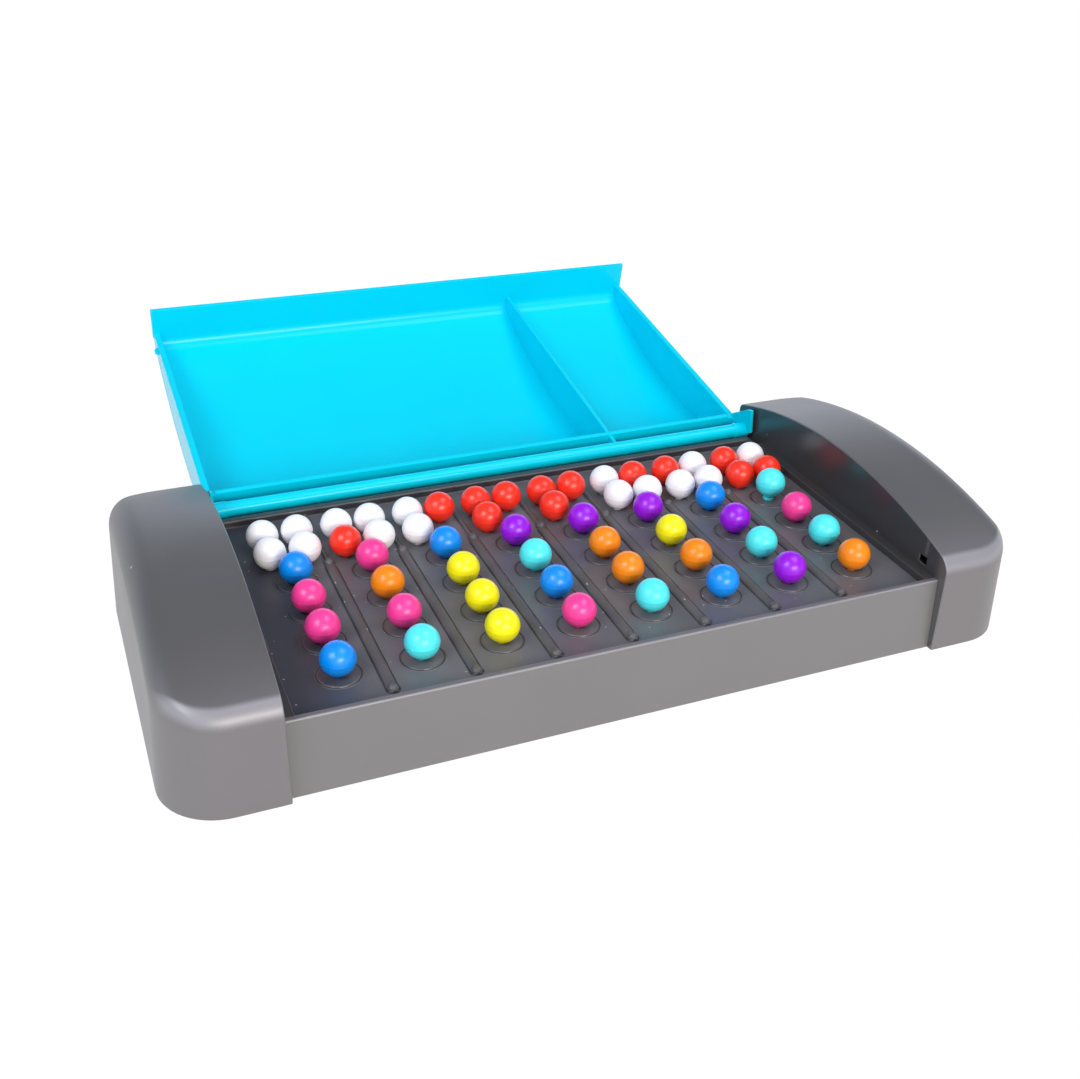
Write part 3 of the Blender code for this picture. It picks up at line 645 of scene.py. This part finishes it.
# deck faces take the deck's ABS; the front wall the paler copy, as painted light; the faces behind the deck the
# darker copy, as painted shade under the open lid's bead
for face in tray.data.polygons:
    way, spot = face.normal, face.center
    deck = abs(way.z) > materialRule["level"] and abs(spot.z - deckTop) < materialRule["deckReach"]
    front = way.y < -materialRule["forward"] and spot.y < rimFace + materialRule["frontReach"]
    back = spot.y > housing["recessBack"] - materialRule["backReach"] and spot.z > deckTop
    face.material_index = 1 if deck else 2 if front else 3 if back else 0
ledges = combined(solid("sideLedges", addLedges), [solid("earSlots", addEarSlots)], "DIFFERENCE")
# the side ledges take the darker copy all over, as painted shade
finishGrey(evenShading(ledges), paintedShadeAbs)
# the ridges of the rings carry a painted highlight, their grooves painted shade
finishGrey(solid("holePads", addPads), deckAbs, ribAbs, paintedShadeAbs)
finishGrey(solid("columnRibs", addRibs), ribAbs)
finishGrey(solid("ribKnobs", addKnobs), ribAbs)
frame["nodes"]["base_cover"].data.materials.clear()
frame["nodes"]["base_cover"].data.materials.append(greyAbs)
print("housing made")


# Lid, drawn shut and then turned open about its hinge

lid = {
    "openDegrees": 170.15, "shell": 1.8 * mm, "side": 2.4 * mm, "endGap": 0.9 * mm, "edge": 25.3 * mm,
    "nearWall": 8.0 * mm, "nearThickness": 2 * mm, "nearRadius": 2 * mm, "hemFoot": 24.6 * mm,
    "hemHalf": 101.6 * mm, "lipFace": 122.9 * mm, "lipDrop": 10.9 * mm, "lipThickness": 1.8 * mm,
    "lipOverhang": 0.4 * mm, "divider": 1.4 * mm, "dividerX": 49.4 * mm, "web": 1.6 * mm, "stopGap": 0.3 * mm,
    "bead": 2.7 * mm, "knuckle": 3.0 * mm, "knuckleWidth": 6 * mm, "pin": 1.5 * mm, "pinBite": 1.6 * mm,
    "edgeRound": 0.3 * mm,
    # parts that are joined are set back by a hair or more, so that no two share a face
    "hair": 0.03 * mm, "lipHair": 0.04 * mm,
}
lidHalf = capFace - lid["endGap"]


def lidShellOutline(steps=36, roundSteps=6):
    lip, thick = lid["lipFace"] - hingeY, lid["lipThickness"]
    lipFoot = hingeZ - lid["lipDrop"]
    near, nearFoot = hingeY - lid["nearWall"], lid["edge"]
    endRadius, radius = housing["archFrontRadius"], lid["nearRadius"]
    outer = [(-lip, lipFoot)] + archEnd(-1, lip, endRadius)
    inner = [(-lip + thick, lipFoot)] + archEnd(-1, lip - thick, endRadius - thick, lid["shell"])
    outer += archRun(outer[-1][0], near - radius, steps)
    top = archZ(near - radius)
    for k in range(1, roundSteps):
        a = math.pi / 2 * k / roundSteps
        outer.append((near - radius + radius * math.sin(a), top - radius + radius * math.cos(a)))
    outer += [(near, top - radius), (near, nearFoot)]
    stop = near - lid["nearThickness"]
    inner += archRun(inner[-1][0], stop, steps, lid["shell"])
    inner.append((stop, nearFoot))
    return outer + inner[::-1]


# the side walls and the divider
def panelOutline(steps=36):
    lip = lid["lipFace"] - hingeY - lid["lipThickness"] / 2
    near = hingeY - lid["nearWall"] - lid["nearThickness"] / 2
    foot, inset = lid["edge"] + lid["hair"], lid["shell"] / 2
    front = archEnd(-1, lip, housing["archFrontRadius"] - lid["lipThickness"] / 2, inset)
    return [(-lip, foot)] + front + archRun(front[-1][0], near, steps, inset) + [(near, foot)]


# the short webs that stop the open lid on the trough, from its near wall to its bead
def webOutline():
    lean = math.radians(180 - lid["openDegrees"])
    rest = housing["troughTop"] + lid["stopGap"]
    near = lid["nearWall"] + lid["nearThickness"] / 2
    low = hingeZ - lid["edge"] - 2 * lid["hair"]
    far = [(hingeZ - rest + reach * math.sin(lean)) / math.cos(lean) for reach in (0.0, near)]
    return [
        (hingeY - near, hingeZ - low), (hingeY, hingeZ - low), (hingeY, hingeZ + far[0]),
        (hingeY - near, hingeZ + far[1]),
    ]


def earOutline():
    near = hingeY - lid["nearWall"]
    return [
        (near - lid["nearThickness"], hingeZ),
        (near - lid["nearThickness"] / 2, hingeZ - ear["shoulder"]),
        (hingeY + ear["footFront"], hingeZ - ear["depth"] + ear["step"]),
        (hingeY + ear["footBack"], hingeZ - ear["depth"]),
        (hingeY + ear["back"], hingeZ - ear["heel"]),
        (hingeY + lid["pin"], hingeZ + lid["pin"]),
    ]


# the near wall goes on down a little between the side ledges
def hemOutline():
    near = hingeY - lid["nearWall"] - lid["hair"]
    far, top = near - lid["nearThickness"] + 2 * lid["hair"], lid["edge"] + lid["nearThickness"]
    return corners(far, lid["hemFoot"], near, top)


# the lip goes on a little past the lid's sides
def lipEndOutline():
    hair = lid["lipHair"]
    face = lid["lipFace"] - hingeY - hair
    foot = hingeZ - lid["lipDrop"] + hair
    top = archEnd(-1, face, housing["archFrontRadius"])[0][1]
    return corners(-face, foot, -(face - lid["lipThickness"] + 2 * hair), top)


def nubSections(side):
    places = (  # distance from the middle and share of the nub's full size
        (lidHalf - lid["side"] / 2, 1.0), (lidHalf - 6 * lid["hair"], 1.0), (capFace + catch["bite"], 0.5),
    )
    return [
        [(side * x, y, z) for y, z in catchOutline(catch["width"] / 2 * share, catch["height"] / 2 * share)]
        for x, share in places
    ]


def makeLid():
    half, edge, hair = lidHalf, lid["edgeRound"], lid["hair"]
    shell = bevelled(solid("lidTray", lambda bm: prismX(bm, lidShellOutline(), -half, half)), edge)
    tools = []

    def join(name, outline, x0, x1, bevel):
        low, high = sorted((x0, x1))
        tools.append(bevelled(solid(name, lambda bm: prismX(bm, outline, low, high)), bevel))

    knuckle, pin = rod(lid["knuckle"], sidesOf["bead"]), rod(lid["pin"], sidesOf["pin"])
    endParts = (  # outer and inner distance from the middle, and bevel
        ("sideWall", panelOutline(), half - hair, half - lid["side"], edge),
        ("sideWeb", webOutline(), half - 2 * hair, half - lid["web"], edge / 2),
        ("knuckle", knuckle, half - 4 * hair, half - lid["knuckleWidth"], edge),
        ("pin", pin, capFace + lid["pinBite"], half - lid["knuckleWidth"] / 2, edge / 2),
        ("ear", earOutline(), half - 5 * hair, half - ear["thickness"], edge),
        ("lipEnd", lipEndOutline(), half + lid["lipOverhang"], half - lid["side"] - 3 * hair, edge / 2),
    )
    for side in (-1, 1):
        for name, outline, outer, inner, bevel in endParts:
            join(name, outline, side * outer, side * inner, bevel)
        tools.append(solid("nub", lambda bm: loft(bm, nubSections(side))))
    middle, thick = lid["dividerX"], lid["divider"] / 2
    join("divider", panelOutline(), middle - thick, middle + thick, edge)
    join("dividerWeb", webOutline(), middle - thick + hair, middle + thick - hair, edge / 2)
    join("bead", rod(lid["bead"], sidesOf["bead"]), -half + 3 * hair, half - 3 * hair, edge)
    join("hem", hemOutline(), -lid["hemHalf"], lid["hemHalf"], edge)
    combined(shell, tools, "UNION")
    opening = Matrix.Rotation(-math.radians(lid["openDegrees"]), 4, "X")
    turn = Matrix.Translation((0, hingeY, hingeZ)) @ opening
    shell.data.transform(turn @ Matrix.Translation((0, -hingeY, -hingeZ)))
    return evenShading(shell)


lidTray = makeLid()
lidTray.data.materials.clear()
lidTray.data.materials.append(cyanAbs)
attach(lidTray, "lid")
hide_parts("lid")
print("lid made")


# Pegs

peg = {
    "ball": 5.25 * mm, "neck": 1.3 * mm, "collar": 2.05 * mm, "collarHeight": 0.9 * mm,
    "collarSlope": 0.2 * mm, "seatedCollar": 7.3 * mm, "raisedCollar": 6.4 * mm, "stem": 1.7 * mm,
    "sink": 0.2 * mm, "stemDrop": 12.35 * mm, "chamfer": 0.5 * mm, "sides": 48, "sharp": math.radians(50),
    "seam": 0.035 * mm, "seamWidth": 0.16 * mm,
    "gate": 0.42 * mm, "gateHeight": 0.3 * mm, "gateProud": 0.14 * mm, "gateRoot": 0.3 * mm, "gateTip": 0.6,
    "gateAway": (20, 170),  # degrees between which a gate mark faces away
}
raisedPeg = "code_peg_8_4"
fusedPegs = {"key_peg_4_back_right": "red", "key_peg_5_back_right": "red", "key_peg_6_back_right": "red",
             "key_peg_7_back_right": "white"}
gateTurns = {  # where the gate mark of a peg can be seen, in degrees from the right towards the back
    "code_peg_1_4": 285, "code_peg_1_3": 225, "code_peg_2_3": 195, "code_peg_2_1": 220, "code_peg_5_2": 305,
    "code_peg_6_1": 300, "code_peg_7_1": 290, "code_peg_1_1": 330, "code_peg_8_2": 310,
}


# ball with the mould's parting line round its middle, neck, collar and stem
def pegProfile(drop, steps=24):
    ball, neck, seam, band = peg["ball"], peg["neck"], peg["seam"], peg["seamWidth"]
    collar, stem, slope, foot = peg["collar"], peg["stem"], peg["collarSlope"], peg["stemDrop"]
    meet = math.pi - math.asin(neck / ball)
    turns = [meet * k / steps for k in range(1, steps + 1)]
    points = [(ball * math.sin(a), ball * math.cos(a)) for a in turns if abs(ball * math.cos(a)) > band]
    half = sum(1 for _, z in points if z > 0)
    points[half:half] = [(ball, band), (ball + seam, band / 3), (ball + seam, -band / 3), (ball, -band)]
    top = drop - peg["collarHeight"]
    points += [(neck, -top), (collar, -top - slope), (collar, -drop), (stem, -drop - slope)]
    points += [(stem, -foot + peg["chamfer"]), (stem - peg["chamfer"], -foot)]
    return points


# the stub where the runner was cut from the ball, on the parting line
def gateSections():
    out = []
    for x, share in ((peg["ball"] - peg["gateRoot"], 1.0), (peg["ball"] + peg["gateProud"], peg["gateTip"])):
        w, h = peg["gate"] * share, peg["gateHeight"] * share
        out.append([(x, y, z) for y, z in corners(-w, -h, w, h)])
    return out


def pegMesh(material, drop):
    bm = bmesh.new()
    n = peg["sides"]
    rings = loft(bm, [circle(r, 0, 0, z, n) for r, z in pegProfile(drop)], closeEnds=False)
    top = bm.verts.new((0, 0, peg["ball"]))
    for i in range(n):
        bm.faces.new((top, rings[0][(i + 1) % n], rings[0][i]))
    bm.faces.new(rings[-1])
    loft(bm, gateSections())
    mesh = meshFrom(material.name + "Peg", bm, peg["sharp"])
    mesh.materials.append(material)
    return mesh


slotOf = {s["node"]: s["material_slot"] for s in frame["record"]["subparts"]}
pegMeshes = {word: pegMesh(material, peg["seatedCollar"]) for word, material in pegPlastic.items()}
raisedMesh = pegMesh(pegPlastic["turquoise"], peg["raisedCollar"])
gateDraw = random.Random(8)


def pieceName(node):
    words = node.split("_")
    return words[0] + "".join(w.capitalize() for w in words[1:])


def addPeg(node, word, x, y, top):
    thing = bpy.data.objects.new(pieceName(node), raisedMesh if node == raisedPeg else pegMeshes[word])
    thing.location = (x, y, top - peg["ball"] - peg["sink"])
    turn = gateTurns.get(node, gateDraw.uniform(*peg["gateAway"]))
    thing.rotation_euler = (0, 0, math.radians(turn))
    bpy.context.scene.collection.objects.link(thing)
    return thing


for node in sorted(frame["nodes"]):
    if "_peg_" in node:
        low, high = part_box(node)
        word = slotOf[node].split("_")[0]
        thing = addPeg(node, word, (low.x + high.x) / 2, (low.y + high.y) / 2, high.z)
        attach(thing, node)
        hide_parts(node)
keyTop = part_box("key_peg_1_back_left")[1].z
for node, word in fusedPegs.items():
    x = columnX(int(node.split("_")[2])) + field["keyPitchX"] / 2
    thing = addPeg(node, word, x, field["keyFrontRow"] + field["keyPitchY"], keyTop)
    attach(thing, "housing")
print("pegs made")


# Camera, floor and light

cameraLook = {
    "place": (-149.2 * mm, -325.2 * mm, 232.2 * mm), "forward": (0.3464, 0.7945, -0.4988),
    "right": (0.9234, -0.3825, 0.0320), "lens": 41.43, "sensor": 36, "near": 0.01, "far": 20,
}
stage = {
    "floorRadius": 6, "floor": 0.86, "floorRoughness": 0.9, "ownWhite": 0.97, "glow": 1.02, "world": 0.42,
    "worldColour": "#f4f7ff", "sweepLow": 0.18, "sweepHigh": 0.52, "room": 0.14, "roomColour": "#e4edff",
    "lampTarget": (0, 0, 0.02),
}
lamps = {  # place in metres, size, watts and colour
    "coolKeyLamp": ((-1.0, -0.5, 1.1), (0.7, 0.7), 10.5, "#eef4ff"),
    "warmFrontLamp": ((0.05, -1.5, 0.6), (0.9, 0.4), 14.0, "#fff2e6"),
    "coolTopLamp": ((0.52, -0.3, 1.34), (0.9, 0.7), 6.5, "#e6eeff"),
    "backRimLamp": ((0.7, 1.3, 0.33), (1.6, 0.36), 2.5, "#eef2ff"),
}


def makeCamera():
    data = bpy.data.cameras.new("camera")
    data.lens, data.sensor_width, data.sensor_fit = cameraLook["lens"], cameraLook["sensor"], "HORIZONTAL"
    data.clip_start, data.clip_end = cameraLook["near"], cameraLook["far"]
    camera = bpy.data.objects.new("camera", data)
    bpy.context.scene.collection.objects.link(camera)
    forward = Vector(cameraLook["forward"]).normalized()
    right = Vector(cameraLook["right"])
    right = (right - forward * right.dot(forward)).normalized()
    up = right.cross(forward)
    turn = Matrix((right, up, -forward)).transposed()
    camera.matrix_world = Matrix.Translation(cameraLook["place"]) @ turn.to_4x4()
    bpy.context.scene.camera = camera


def addLamp(name, place, size, power, colour):
    data = bpy.data.lights.new(name, "AREA")
    data.shape, data.size, data.size_y = "RECTANGLE", size[0], size[1]
    data.energy, data.color = power, hexColour(colour)[:3]
    lamp = bpy.data.objects.new(name, data)
    lamp.location = place
    lamp.rotation_euler = (Vector(stage["lampTarget"]) - Vector(place)).to_track_quat("-Z", "Y").to_euler()
    bpy.context.scene.collection.objects.link(lamp)


# an even white sweep: what the camera, and a gloss surface, sees of it is mostly its own white
def makeFloor(sides=64):
    bm = bmesh.new()
    bm.faces.new([bm.verts.new(p) for p in circle(stage["floorRadius"], 0, 0, 0, sides)])
    floor = addPiece("floor", bm)
    material = bpy.data.materials.new("whiteSweep")
    material.use_nodes = True
    tree = material.node_tree
    shader = tree.nodes["Principled BSDF"]
    shader.inputs["Base Color"].default_value = (stage["floor"], stage["floor"], stage["floor"], 1)
    shader.inputs["Roughness"].default_value = stage["floorRoughness"]
    path = addNode(tree, "ShaderNodeLightPath").outputs
    seen = path["Is Camera Ray"]
    for ray in ("Is Glossy Ray", "Is Transmission Ray"):
        seen = addNode(tree, "ShaderNodeMath", {"operation": "MAXIMUM"}, {0: seen, 1: path[ray]}).outputs[0]
    share = addNode(tree, "ShaderNodeMath", {"operation": "MULTIPLY", 1: stage["ownWhite"]}, {0: seen})
    glow = addNode(tree, "ShaderNodeEmission", {"Color": (1, 1, 1, 1), "Strength": stage["glow"]})
    surface = {0: share.outputs[0], 1: shader.outputs[0], 2: glow.outputs[0]}
    mix = addNode(tree, "ShaderNodeMixShader", None, surface)
    tree.links.new(mix.outputs[0], tree.nodes["Material Output"].inputs["Surface"])
    floor.data.materials.append(material)
    floor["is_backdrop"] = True


# the world lights evenly; a gloss surface sees the white sweep low down and the dim room above it
def makeWorld():
    world = bpy.data.worlds.new("studio")
    bpy.context.scene.world = world
    world.use_nodes = True
    tree = world.node_tree
    light = tree.nodes["Background"]
    light.inputs["Color"].default_value = hexColour(stage["worldColour"])
    light.inputs["Strength"].default_value = stage["world"]
    path = addNode(tree, "ShaderNodeLightPath").outputs
    place = addNode(tree, "ShaderNodeTexCoord").outputs["Generated"]
    height = addNode(tree, "ShaderNodeSeparateXYZ", None, {0: place}).outputs["Z"]
    fade = {"interpolation_type": "SMOOTHSTEP", 1: stage["sweepLow"], 2: stage["sweepHigh"], 3: 1.0,
            4: stage["room"]}
    sweep = addNode(tree, "ShaderNodeMapRange", fade, {0: height}).outputs[0]
    tone = {"Color": hexColour(stage["roomColour"])}
    room = addNode(tree, "ShaderNodeBackground", tone, {"Strength": sweep}).outputs[0]
    white = addNode(tree, "ShaderNodeBackground", {"Color": (1, 1, 1, 1), "Strength": 1}).outputs[0]
    rays = {0: path["Is Camera Ray"], 1: path["Is Transmission Ray"]}
    seen = addNode(tree, "ShaderNodeMath", {"operation": "MAXIMUM"}, rays).outputs[0]
    surface = light.outputs[0]
    for share, other in ((path["Is Glossy Ray"], room), (seen, white)):
        surface = addNode(tree, "ShaderNodeMixShader", None, {0: share, 1: surface, 2: other}).outputs[0]
    tree.links.new(surface, tree.nodes["World Output"].inputs["Surface"])


makeCamera()
makeFloor()
makeWorld()
for name, (place, size, power, colour) in lamps.items():
    addLamp(name, place, size, power, colour)
bpy.context.scene.view_settings.view_transform = "Standard"
print("stage made")

low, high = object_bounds()
